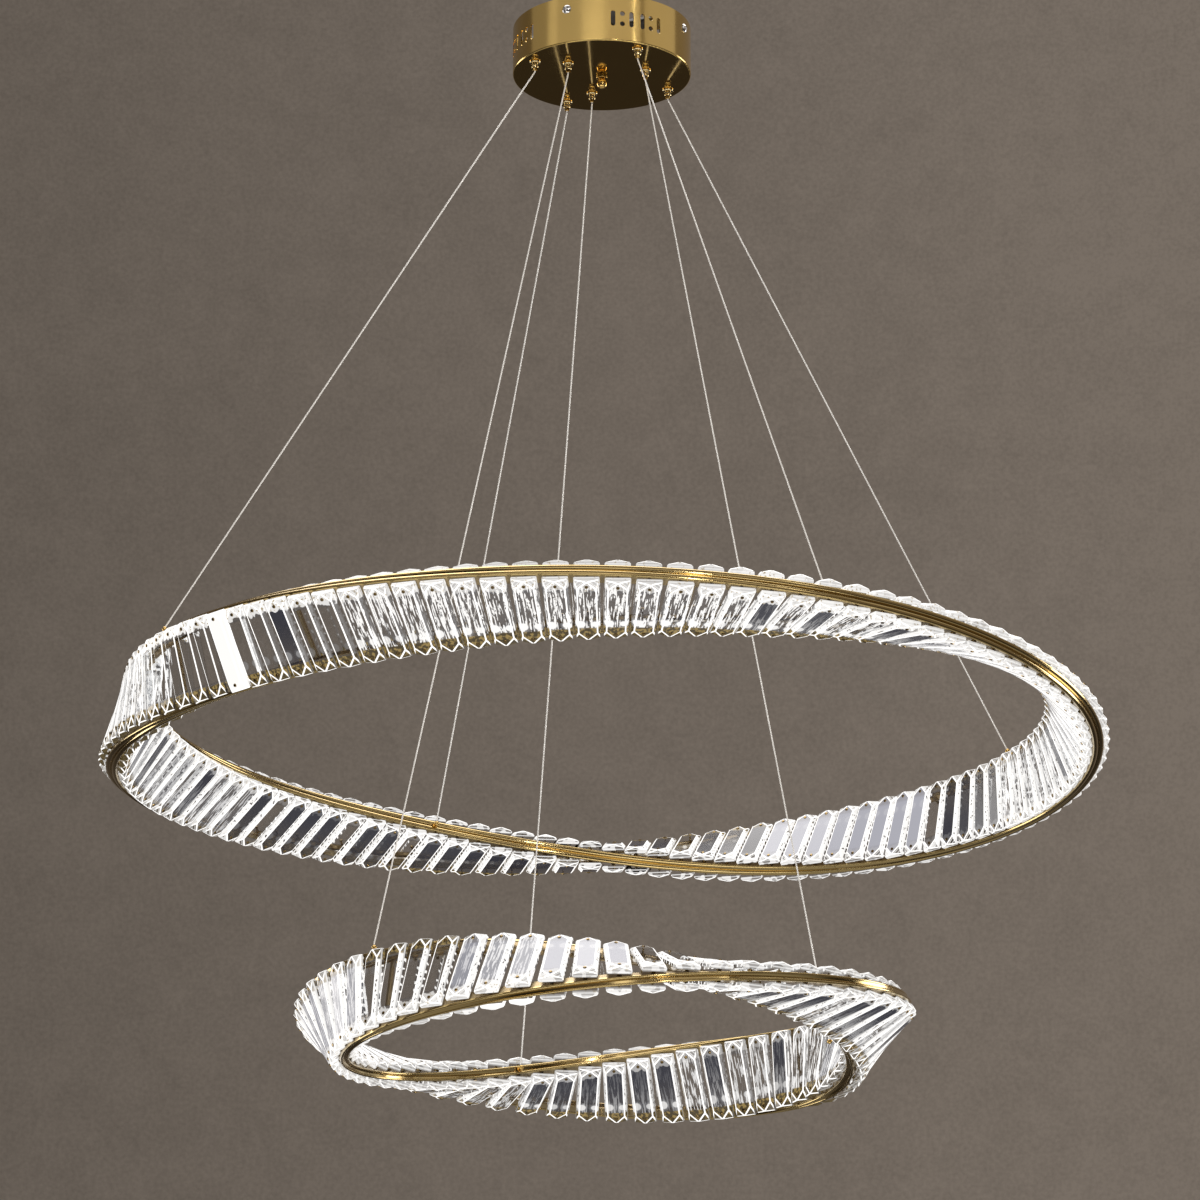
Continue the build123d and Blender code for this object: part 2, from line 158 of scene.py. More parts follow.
class Finish:
    """A material or a world whose nodes are added one by one."""

    prefix = "ShaderNode"

    def __init__(self, owner):
        owner.use_nodes = True
        self.owner = owner
        self.nodes = owner.node_tree.nodes
        self.links = owner.node_tree.links
        self.nodes.clear()

    def add(self, kind, settings, sockets, output=0):
        """Add a node, set it, feed its inputs and give back one of its outputs."""
        node = self.nodes.new(self.prefix + kind)
        for name, value in settings.items():
            setattr(node, name, value)
        for name, value in sockets.items():
            if isinstance(value, Wire):
                self.links.new(value.socket, node.inputs[name])
            else:
                node.inputs[name].default_value = value
        return Wire(self, node.outputs[output]) if node.outputs else None

    def place(self):
        return self.add("TexCoord", {}, {}, "Object")

    def parts(self, vector):
        """The three numbers of a vector."""
        node = self.add("SeparateXYZ", {}, {"Vector": vector}).socket.node
        return [Wire(self, output) for output in node.outputs]

    def noise(self, size, detail=2.0):
        return self.add("TexNoise", {}, {
            "Vector": self.place(), "Scale": 1 / size, "Detail": detail})

    def step(self, value, low, high, start=0.0, end=1.0, kind="SMOOTHSTEP"):
        """One amount below the first level, the other above the second, and smooth between them."""
        return self.add("MapRange", {"interpolation_type": kind},
                        {"Value": value, 1: low, 2: high, 3: start, 4: end})

    def mix(self, share, first, second):
        """Two colours mixed. The node's sockets for colours are the inputs 6 and 7 and the output 2."""
        return self.add("Mix", {"data_type": "RGBA"}, {0: share, 6: first, 7: second}, 2)

    def bump(self, height, strength, depth):
        return self.add("Bump", {}, {"Height": height, "Strength": strength, "Distance": depth})

    def surface(self, shader):
        self.add("OutputMaterial", {}, {"Surface": shader})
        return self.owner

    def solid(self, sockets):
        return self.surface(self.add("BsdfPrincipled", {}, sockets))

    def glowing(self, colour, strength):
        return self.surface(self.add("Emission", {}, {"Color": colour, "Strength": strength}))


def rgb(colour):
    return (*colour, 1.0)


def shaded(colour, share):
    return rgb(tuple(share * part for part in colour))


def new_finish(name):
    return Finish(bpy.data.materials.new(name))


def new_piece(name, mesh):
    piece = bpy.data.objects.new(name, mesh)
    bpy.context.collection.objects.link(piece)
    return piece


def plaster():
    """Warm grey plaster, a little brighter to the right and darker near the floor."""
    finish = new_finish("studio_plaster")
    across, _, height = finish.parts(finish.place())
    light = finish.step(across, *wall_across, wall_left_share, 1.0, "LINEAR")
    light = light * finish.step(height, *wall_lift, wall_foot_share, 1.0)
    mottle = sum((finish.noise(size, detail) * share for size, detail, share in mottle_layers), mottle_base)
    return finish.glowing(finish.mix(light * mottle, rgb((0, 0, 0)), rgb(wall_grey)), wall_glow)


def floor_paint():
    """Pale at the middle of the room and fading to a dark share of the wall's grey."""
    finish = new_finish("studio_floor")
    away = finish.add("VectorMath", {"operation": "LENGTH"}, {0: finish.place()}, "Value")
    fade = finish.step(away, *floor_fade)
    return finish.glowing(finish.mix(fade, rgb(floor_pale), shaded(wall_grey, floor_edge_share)), floor_glow)


def studio_piece(name, form, material):
    mesh = bpy.data.meshes.new(name)
    form.to_mesh(mesh)
    mesh.materials.append(material)
    return new_piece(name, mesh)


def round_wall():
    form = bmesh.new()
    bmesh.ops.create_cone(form, segments=wall_sides, radius1=wall_radius, radius2=wall_radius,
                          depth=wall_top + floor_depth, cap_ends=False)
    bmesh.ops.translate(form, verts=form.verts, vec=(0, 0, (wall_top - floor_depth) / 2))
    bmesh.ops.reverse_faces(form, faces=form.faces)
    return studio_piece("studio_wall", form, plaster())


def round_floor():
    form = bmesh.new()
    bmesh.ops.create_circle(form, segments=wall_sides, radius=wall_radius, cap_ends=True)
    bmesh.ops.translate(form, verts=form.verts, vec=(0, 0, -floor_depth))
    return studio_piece("studio_floor", form, floor_paint())


def panel(name, spot, size, power):
    """A soft, warm panel that faces the lamp and is not seen directly."""
    data = bpy.data.lights.new(name, "AREA")
    data.shape = "RECTANGLE"
    data.size, data.size_y = size
    data.energy = power
    data.color = panel_tint
    light = bpy.data.objects.new(name, data)
    light.location = spot
    aim = Vector(panel_aim) - Vector(spot)
    light.rotation_euler = aim.to_track_quat("-Z", "Y").to_euler()
    light.visible_camera = False
    light.visible_transmission = False
    bpy.context.collection.objects.link(light)


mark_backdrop(round_wall(), round_floor())
panel("front_panel", (-1.2, -6.5, 1.4), (3.4, 2.2), 34)
panel("left_panel", (-4.4, 3.0, -0.6), (1.6, 3.4), 70)
panel("right_panel", (4.6, 2.6, -0.4), (1.6, 3.4), 90)
panel("top_panel", (0.0, 1.0, 2.6), (3.6, 3.0), 120)
panel("streak_panel", (1.5, -5.0, -0.4), (0.16, 3.0), 30)
panel("canopy_panel", (-0.5, -2.5, 1.15), (8.2, 1.7), 15)
panel("canopy_side_panel", (3.0, -0.4, 1.45), (3.0, 1.6), 4.6)
panel("canopy_left_panel", (-3.0, -0.5, 1.45), (2.4, 1.6), 2.0)
panel("canopy_streak_panel", (2.37, -2.57, 1.5), (0.10, 1.4), 1.5)
panel("canopy_edge_panel", (0.0, -1.9, -3.1), (5.0, 0.7), 26)

world = bpy.data.worlds.new("studio_air")
bpy.context.scene.world = world
air = Finish(world)
air.add("OutputWorld", {}, {"Surface": air.add(
    "Background", {}, {"Color": rgb(wall_grey), "Strength": 1.0})})


# Gold fittings: steel and brass parts plated in polished gold, with a faint ripple.
# The canopy is one spun drum; its flat underside is as bright as a dark mirror.
# Sizes in metres of the gold's clouds of tone, its wear and its ripple.
gold_cloud = 0.05
gold_wear = 0.012
gold_ripple = 0.03
ripple_depth = 0.001
wear_share = 0.05
worn_tone = 0.90
underside_polish = 0.07


def plated(finish, colour, worn, roughness):
    """Gold whose tone and polish vary in soft clouds, over a faint ripple."""
    return finish.solid({
        "Base Color": finish.mix(finish.noise(gold_cloud, 3.0), rgb(colour), worn), "Metallic": 1.0,
        "Roughness": finish.noise(gold_wear, 4.0) * wear_share + roughness,
        "Normal": finish.bump(finish.noise(gold_ripple), 0.05, ripple_depth)})


def polished_gold(name, colour, roughness):
    return plated(new_finish(name), colour, shaded(colour, worn_tone), roughness)


def spun_gold():
    """The canopy's side is a little brushed by its spinning and its underside is polished."""
    finish = new_finish("canopy_gold")
    height = finish.parts(finish.place())[2]
    under = finish.step(height, (canopy_bottom + 1.0) * mm, (canopy_bottom + 0.1) * mm)
    return plated(finish, (0.80, 0.57, 0.20), rgb((0.72, 0.51, 0.18)), 0.14 - under * underside_polish)


canopy_gold = spun_gold()
gripper_gold = polished_gold("gripper_gold", (0.92, 0.75, 0.42), 0.08)
fitting_gold = polished_gold("fitting_gold", (0.86, 0.58, 0.20), 0.10)


def coat(node, material):
    mesh = nodes[node].data
    mesh.materials.clear()
    mesh.materials.append(material)


coat("canopy_shell", canopy_gold)
for node in ("finial", "upper_anchors", "lower_anchors"):
    coat(node, fitting_gold)
for node in nodes:
    if "plunger" in node:
        coat(node, fitting_gold)


# Hidden hardware: zinc-plated bracket and nuts, black plastic power supplies.
# They sit inside the canopy and show only through its vents and from above.


def zinc():
    finish = new_finish("zinc_plate")
    spangle = finish.add("TexVoronoi", {}, {"Vector": finish.place(), "Scale": 260.0}, "Color")
    return finish.solid({
        "Base Color": finish.mix(spangle, rgb((0.50, 0.50, 0.49)), rgb((0.68, 0.68, 0.66))),
        "Metallic": 1.0, "Roughness": finish.noise(0.004) * 0.2 + 0.28})


def moulded(name, colour):
    finish = new_finish(name)
    grain = finish.noise(0.0006)
    return finish.solid({
        "Base Color": finish.mix(finish.noise(0.03), rgb(colour), shaded(colour, 0.93)),
        "Roughness": grain * 0.1 + 0.42, "Normal": finish.bump(grain, 0.2, 0.0002)})


def chrome():
    finish = new_finish("screw_chrome")
    return finish.solid({
        "Base Color": rgb((0.95, 0.95, 0.96)), "Metallic": 1.0,
        "Roughness": finish.noise(0.003) * 0.1 + 0.10})


zinc_plate = zinc()
for node in ("ceiling_bracket", "finial_nut", "gripper_nuts"):
    coat(node, zinc_plate)
for node in ("upper_led_driver", "lower_led_driver"):
    coat(node, moulded(node + "_plastic", (0.030, 0.030, 0.033)))
coat("terminal_block", moulded("terminal_plastic", (0.055, 0.055, 0.060)))
coat("side_screws", chrome())


# The bands: each is a flat ladder of two channels, twisted once about its own middle
# on its way round the circle. Everything on a ring is placed by the same law.


@dataclass
class Band:
    """The circle and the twist of one ring, in millimetres and degrees."""

    name: str
    radius: float
    drop: float
    crystals: int
    trim_arcs: int
    edge_half: float
    front: float
    sense: int
    sway: tuple
    wave: float
    wave_peak: float

    def twist(self, azimuth):
        lap = math.radians(azimuth - front_azimuth)
        angle = self.front + self.sense * (azimuth - front_azimuth)
        for waves, sine_part, cosine_part in self.sway:
            angle += sine_part * math.sin(waves * lap) + cosine_part * (math.cos(waves * lap) - 1)
        return math.radians(angle)

    def station(self, azimuth):
        """The middle of the band there, the way across its width and the way through it."""
        turn = self.twist(azimuth)
        where = math.radians(azimuth)
        outward = Vector((math.cos(where), math.sin(where), 0))
        up = Vector((0, 0, 1))
        height = self.wave * math.cos(2 * math.radians(azimuth - self.wave_peak)) - self.drop
        middle = outward * self.radius + up * height
        width_way = outward * math.sin(turn) + up * math.cos(turn)
        face_way = outward * math.cos(turn) - up * math.sin(turn)
        return middle * mm, width_way, face_way


bands = (
    Band(name="upper", radius=458, drop=745, crystals=112, trim_arcs=8, edge_half=5.6, front=65.6, sense=1,
         sway=((1, -4.5, -3.4), (2, 1.0, 3.3), (3, -5.0, -2.0)), wave=4.6, wave_peak=-32),
    Band(name="lower", radius=262, drop=1035, crystals=60, trim_arcs=4, edge_half=4.2, front=123.9, sense=-1,
         sway=((1, 5.3, 0.1), (2, -0.8, -2.9)), wave=2.3, wave_peak=64))


def evenly(count):
    """The azimuths of equal steps round a ring, each at the middle of its step."""
    return [front_azimuth + (index + 0.5) * 360 / count for index in range(count)]


# Channels and rungs: the frame behind the crystals, in dull, speckled gold.
# It shows as notches between the bars and through their ends.


def channel_gold():
    finish = new_finish("channel_gold")
    speck = finish.noise(0.004, 4.0)
    return finish.solid({
        "Base Color": finish.mix(speck, rgb((0.28, 0.215, 0.12)), rgb((0.55, 0.43, 0.25))),
        "Metallic": 1.0, "Roughness": speck * 0.2 + 0.26})


channel_finish = channel_gold()
for band in bands:
    coat(band.name + "_frame", channel_finish)


# Light strips: a warm diffuser along the inside of both channels, with a bright bead of
# light over each diode. There are two beads behind each crystal bar.
strip_front = 34.0
bead_radius = 2.3
bead_height = 2.2
bead_foot = 0.5
bead_sides = 8
beads_per_bar = 2
lens_cream = (0.95, 0.90, 0.80)


def lit(name, colour, strength):
    finish = new_finish(name)
    return finish.solid({
        "Base Color": rgb(lens_cream), "Roughness": 0.45, "Emission Strength": strength,
        "Emission Color": finish.mix(finish.noise(0.004), rgb(colour), shaded(colour, 0.8))})


strip_glow = lit("led_strip_glow", (1.0, 0.84, 0.60), 0.06)
bead_glow = lit("led_bead_glow", (1.0, 0.96, 0.90), 0.6)
for band in bands:
    for edge in "ab":
        coat(f"{band.name}_led_strip_{edge}", strip_glow)


class Tree(Finish):
    """A geometry tree with named inputs, run on one object and then made plain mesh."""

    prefix = ""

    def __init__(self, name, inputs):
        self.group = bpy.data.node_groups.new(name, "GeometryNodeTree")
        self.nodes = self.group.nodes
        self.links = self.group.links
        self.values = inputs
        sockets = self.group.interface
        sockets.new_socket("Geometry", in_out="INPUT", socket_type="NodeSocketGeometry")
        sockets.new_socket("Geometry", in_out="OUTPUT", socket_type="NodeSocketGeometry")
        for label, value in inputs.items():
            kind = "NodeSocketObject" if isinstance(value, bpy.types.Object) else "NodeSocketMaterial"
            sockets.new_socket(label, in_out="INPUT", socket_type=kind)
        self.start = self.nodes.new("NodeGroupInput")

    def given(self, label):
        return Wire(self, self.start.outputs[label])

    def stored(self, name, kind="FLOAT_VECTOR"):
        return self.add("GeometryNodeInputNamedAttribute", {"data_type": kind}, {"Name": name}, "Attribute")

    def painted(self, geometry):
        return self.add("GeometryNodeSetMaterial", {}, {
            "Geometry": geometry, "Material": self.given("Finish")})

    def lay(self, shape):
        """Set the shape on every point, turned by the point's outward and across ways."""
        turn = self.add("FunctionNodeAxesToRotation", {"primary_axis": "Z", "secondary_axis": "X"}, {
            "Primary Axis": self.stored("outward"), "Secondary Axis": self.stored("across")})
        body = self.add("GeometryNodeObjectInfo", {}, {"Object": self.given(shape)}, "Geometry")
        laid = self.add("GeometryNodeInstanceOnPoints", {}, {
            "Points": self.given("Geometry"), "Instance": body, "Rotation": turn})
        return self.add("GeometryNodeRealizeInstances", {}, {"Geometry": laid})

    def run(self, geometry, piece):
        """Finish the tree, run it on a piece and keep the result as a mesh."""
        end = self.nodes.new("NodeGroupOutput")
        self.links.new(geometry.socket, end.inputs["Geometry"])
        modifier = piece.modifiers.new(self.group.name, "NODES")
        modifier.node_group = self.group
        for item in self.group.interface.items_tree:
            if item.in_out == "INPUT" and item.name in self.values:
                modifier[item.identifier] = self.values[item.name]
        bpy.context.view_layer.update()
        graph = bpy.context.evaluated_depsgraph_get()
        mesh = bpy.data.meshes.new_from_object(piece.evaluated_get(graph))
        mesh.name = piece.name
        piece.modifiers.clear()
        piece.data = mesh
        return piece


def points_mesh(name, points, edges=(), **stored):
    """Points, loose or joined in lines, that carry ways and numbers for a tree to read."""
    mesh = bpy.data.meshes.new(name)
    mesh.from_pydata([tuple(point) for point in points], edges, [])
    for label, values in stored.items():
        kind, part = ("FLOAT_VECTOR", "vector") if isinstance(values[0], Vector) else ("FLOAT", "value")
        layer = mesh.attributes.new(label, kind, "POINT")
        for item, value in zip(layer.data, values):
            setattr(item, part, value)
    return mesh


def finish_mesh(form, mesh):
    """Write the form into the mesh, its faces turned outward and smooth but for sharp edges."""
    bmesh.ops.recalc_face_normals(form, faces=form.faces)
    form.to_mesh(mesh)
    mesh.shade_smooth()
    mesh.set_sharp_from_angle(angle=math.radians(sharp_edge))


def turned(name, profile, sides, closed=False):
    """A shape turned about Z from radii and heights in millimetres, open at its foot or a loop."""
    form = bmesh.new()
    rows = []
    for radius, height in profile:
        if radius == 0:
            rows.append([form.verts.new((0, 0, height * mm))])
            continue
        row = []
        for side in range(sides):
            angle = 2 * math.pi * side / sides
            row.append(form.verts.new((radius * mm * math.cos(angle), radius * mm * math.sin(angle),
                                       height * mm)))
        rows.append(row)
    if closed:
        rows.append(rows[0])
    for low, high in zip(rows, rows[1:]):
        for side in range(sides):
            after = (side + 1) % sides
            if len(low) == 1:
                form.faces.new((low[0], high[after], high[side]))
            elif len(high) == 1:
                form.faces.new((low[side], low[after], high[0]))
            else:
                form.faces.new((low[side], low[after], high[after], high[side]))
    mesh = bpy.data.meshes.new(name)
    finish_mesh(form, mesh)
    return new_piece(name, mesh)


def lay_all(name, shape, material, points, **stored):
    """Copies of one shape on many points, as one mesh in one finish."""
    tree = Tree(name + "_row", {"Shape": shape, "Finish": material})
    return tree.run(tree.painted(tree.lay("Shape")),
                    new_piece(name, points_mesh(name, points, **stored)))


bead = turned("bead", [
    (bead_radius, 0), (bead_radius, bead_foot), (0.72 * bead_radius, 0.78 * bead_height),
    (0.3 * bead_radius, bead_height), (0, bead_height)], bead_sides)
for band in bands:
    for side, edge in ((1, "a"), (-1, "b")):
        points, across, outward = [], [], []
        for azimuth in evenly(beads_per_bar * band.crystals):
            middle, width_way, face_way = band.station(azimuth)
            points.append(middle + width_way * side * strip_front * mm)
            outward.append(-width_way * side)
            across.append(face_way)
        beads = lay_all(f"{band.name}_led_beads_{edge}", bead, bead_glow, points,
                        across=across, outward=outward)
        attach(beads, band.name + "_ring")
bpy.data.objects.remove(bead)


# Edge trims: gold strips with two rounded beads and a groove between them, wider on the lower ring.
# They cover the back of each channel and are what draws the gold line of the rings.
trim_back = 36.9
trim_front = 39.7
trim_seam = 0.3
trim_step = 1.25
bead_rise = 1.0
bead_steps = 8
groove_halves = {"upper": 0.9, "lower": 1.8}
groove_drop = 1.1


def path_mesh(name, runs):
    """Open polylines whose points carry the way across the band, for a tree to sweep along."""
    points, edges, ways = [], [], []
    for run in runs:
        first = len(points)
        points.extend(middle for middle, way in run)
        ways.extend(way for middle, way in run)
        edges.extend((first + i, first + i + 1) for i in range(len(run) - 1))
    return points_mesh(name, points, edges, width_way=ways)


def outline_piece(name, points):
    """A closed flat outline for a tree to sweep: X is across the band and Y through it."""
    mesh = bpy.data.meshes.new(name)
    count = len(points)
    mesh.from_pydata([(x * mm, y * mm, 0) for x, y in points],
                     [(i, (i + 1) % count) for i in range(count)], [])
    return new_piece(name, mesh)


def sweep(name, runs, outline, material):
    """Sweep an outline along the band, keeping it square to the band's width."""
    shape = outline_piece(name + "_outline", outline)
    tree = Tree(name + "_sweep", {"Outline": shape, "Finish": material})
    path = tree.add("GeometryNodeMeshToCurve", {}, {"Mesh": tree.given("Geometry")})
    path = tree.add("GeometryNodeSetCurveNormal", {"mode": "FREE"},
                    {"Curve": path, "Normal": tree.stored("width_way")})
    around = tree.add("GeometryNodeObjectInfo", {}, {"Object": tree.given("Outline")}, "Geometry")
    around = tree.add("GeometryNodeMeshToCurve", {}, {"Mesh": around})
    solid = tree.add("GeometryNodeCurveToMesh", {}, {
        "Curve": path, "Profile Curve": around, "Fill Caps": True})
    solid = tree.add("GeometryNodeRealizeInstances", {}, {"Geometry": solid})
    piece = tree.run(tree.painted(solid), new_piece(name, path_mesh(name, runs)))
    bpy.data.objects.remove(shape)
    form = bmesh.new()
    form.from_mesh(piece.data)
    finish_mesh(form, piece.data)
    return piece


def trim_outline(band, side):
    """Two softly rounded beads with a groove between them."""
    groove_half = groove_halves[band.name]
    half_bead = (band.edge_half - groove_half) / 2
    points = [(trim_back, band.edge_half)]
    for middle in (groove_half + half_bead, -groove_half - half_bead):
        for step in range(bead_steps + 1):
            angle = math.radians(90 - 180 * step / bead_steps)
            points.append((trim_front - bead_rise + bead_rise * math.cos(angle),
                           middle + half_bead * math.sin(angle)))
        if middle > 0:
            points.append((trim_front - bead_rise - groove_drop, 0))
    points.append((trim_back, -band.edge_half))
    return [(side * x, y) for x, y in points]


def trim_runs(band):
    """The stations of a trim's equal arcs, with a hair's gap at each seam."""
    span = 360 / band.trim_arcs
    margin = math.degrees(trim_seam / 2 / band.radius)
    length = span - 2 * margin
    steps = int(span / trim_step)
    runs = []
    for arc in range(band.trim_arcs):
        start = front_azimuth + span / 4 + arc * span + margin
        runs.append([band.station(start + length * step / steps)[:2] for step in range(steps + 1)])
    return runs


trim_gold = polished_gold("trim_gold", (0.60, 0.45, 0.20), 0.10)
for band in bands:
    for side, edge in ((1, "a"), (-1, "b")):
        node = f"{band.name}_trim_{edge}"
        trim = sweep(node + "_beads", trim_runs(band), trim_outline(band, side), trim_gold)
        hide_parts(node)
        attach(trim, band.name + "_ring")


# Crystal bars: clear cut glass, each with a pointed flat, bevelled sides and corner facets.
# They lie across both faces of the band. The light in them is painted: a glowing pattern fixed to each bar,
# of painted highlights, reflections and shade.
bar_length = 75.0
bar_width = 23.0
bar_thickness = 7.6
bar_shoulder = 4.2
bar_bevel = 3.0
bar_point = 9.0
bar_arris = 0.8
bar_clearance = 0.3
band_half = 36.8
facets = ("clear", "flat", "bevel", "corner", "arris")

# Where each part of the light's pattern begins and where it is full, in millimetres.
# Along the bar from its middle:
heel_edge = (25.5, 28.0)
heel_dark_edge = (31.0, 36.0)
heel_shift = 5.5
wall_glow_edge = (23.5, 26.5)
crown_edge = (32.0, 33.5)
crown_wander = 12.0
shade_run = (-28.0, 20.0)
shade_levels = (0.55, 0.90)
# Up from its underside:
wall_height = (4.6, 3.8)
arris_height = (1.2, 2.4)
# Across it from its middle:
shoulder_across = (10.0, 10.6)
# The painted dark marks of shade along its side walls, and the painted lines of light along its corner
# facets:
dash_half = 4.0
dash_edge = (0.9, 1.4)
dash_wander = 8.0
line_half = 1.5
line_edge = (0.80, 1.00)
line_shift = 0.4
# The painted image of a diode, with where its middle is, its ball and the faint halo round it:
diode_along = 16.5
diode_across = 6.4
diode_offset = 1.1
ball_edge = (3.7, 2.7)
halo_edge = (7.0, 3.0)
halo_share = 0.25

# Noise that wanders from bar to bar: its size along, across and through the bar in
# millimetres, its detail, and a shift that tells it from the others.
clouds = {
    "lines": ((17.0, 1.7, 3.0), 2.0, 0.0),
    "shade_specks": ((3.4, 1.7, 3.0), 1.0, 29.0),
    "shade_flecks": ((3.4, 1.6, 1.6), 1.0, 13.0),
    "holes": ((2.4, 2.4, 2.4), 1.0, 23.0),
    "painted_gold_image": ((3.2, 3.2, 3.2), 2.0, 7.0),
    "filled": ((9.0, 9.0, 9.0), 1.0, 5.0),
    "crown": ((5.0, 5.0, 5.0), 1.0, 3.0),
    "shade_dashes": ((9.0, 5.0, 5.0), 1.0, 9.0),
    "haze": ((9.0, 3.0, 3.0), 2.0, 0.0),
}
# The levels of that noise where a patch begins and where it is full.
patches = {"lines": (0.50, 0.55), "shade_specks": (0.60, 0.64), "shade_flecks": (0.62, 0.66), "holes": (0.62, 0.68),
           "painted_gold_image": (0.46, 0.60), "filled": (0.47, 0.51)}


def cut_bar():
    """One bar lying on the XY plane, X along it, with each face marked by its kind of facet."""
    half = bar_length / 2
    side = bar_width / 2
    flat = side - bar_bevel
    corners = []
    for x in (-half, half):
        for y in (-side, side):
            corners.append((x, y, 0))
            corners.append((x, y, bar_shoulder))
        corners.append((x, 0, bar_thickness))
    for x in (-half + bar_point, half - bar_point):
        for y in (-flat, flat):
            corners.append((x, y, bar_thickness))
    form = bmesh.new()
    for corner in corners:
        form.verts.new(Vector(corner) * mm)
    bmesh.ops.convex_hull(form, input=form.verts)
    bmesh.ops.dissolve_limit(form, angle_limit=math.radians(1), verts=form.verts, edges=form.edges)
    mark = form.faces.layers.int.new("facet")
    lane = form.loops.layers.float_vector.new("lane")
    cut = bmesh.ops.bevel(form, geom=form.edges[:], offset=bar_arris * mm, segments=1,
                          affect="EDGES", clamp_overlap=True)
    bmesh.ops.recalc_face_normals(form, faces=form.faces)
    arrises = set(cut["faces"])
    for face in form.faces:
        slope = face.normal
        kind = "corner"
        if face in arrises:
            kind = "arris"
        elif slope.z < -0.9:
            kind = "clear"
        elif slope.z > 0.99:
            kind = "flat"
        elif abs(slope.x) < 0.01:
            kind = "bevel"
        face[mark] = facets.index(kind)
        # Each facet also has its own lane: millimetres along its longest edge and across it.
        longest = max(face.edges, key=lambda edge: edge.calc_length())
        along = (longest.verts[1].co - longest.verts[0].co).normalized()
        across = slope.cross(along)
        middle = face.calc_center_median()
        for corner in face.loops:
            away = (corner.vert.co - middle) / mm
            corner[lane] = (away.dot(along), away.dot(across), 0)
    mesh = bpy.data.meshes.new("cut_bar")
    form.to_mesh(mesh)
    spot = mesh.attributes.new("spot", "FLOAT_VECTOR", "POINT")
    for item, vertex in zip(spot.data, mesh.vertices):
        item.vector = vertex.co / mm
    return new_piece("cut_bar", mesh)


# The bars' glow colours. White is painted light: highlights, crowns, diode images and fully lit bars.
painted_light_white = rgb((1.0, 0.98, 0.95))
crystal_dark = rgb((0.0, 0.0, 0.0))
crystal_water = rgb((0.99, 0.995, 1.0))
# Lilac-grey painted reflection of the room on a bar's flat.
painted_reflection_lilac = rgb((0.40, 0.40, 0.445))
# Grey painted sheen under a bar's painted streaks of light.
painted_sheen_grey = rgb((0.29, 0.30, 0.33))
crystal_shade = rgb((0.019, 0.020, 0.029))
# The wall's colour, painted as glow over the bar ends in place of the view through the glass.
wall_glow_colour = rgb((0.125, 0.108, 0.092))
# A painted image of the gold channel seen through the glass ends, in a dark and a light tone.
painted_gold_image_dark = rgb((0.060, 0.042, 0.012))
painted_gold_image_light = rgb((0.30, 0.21, 0.065))


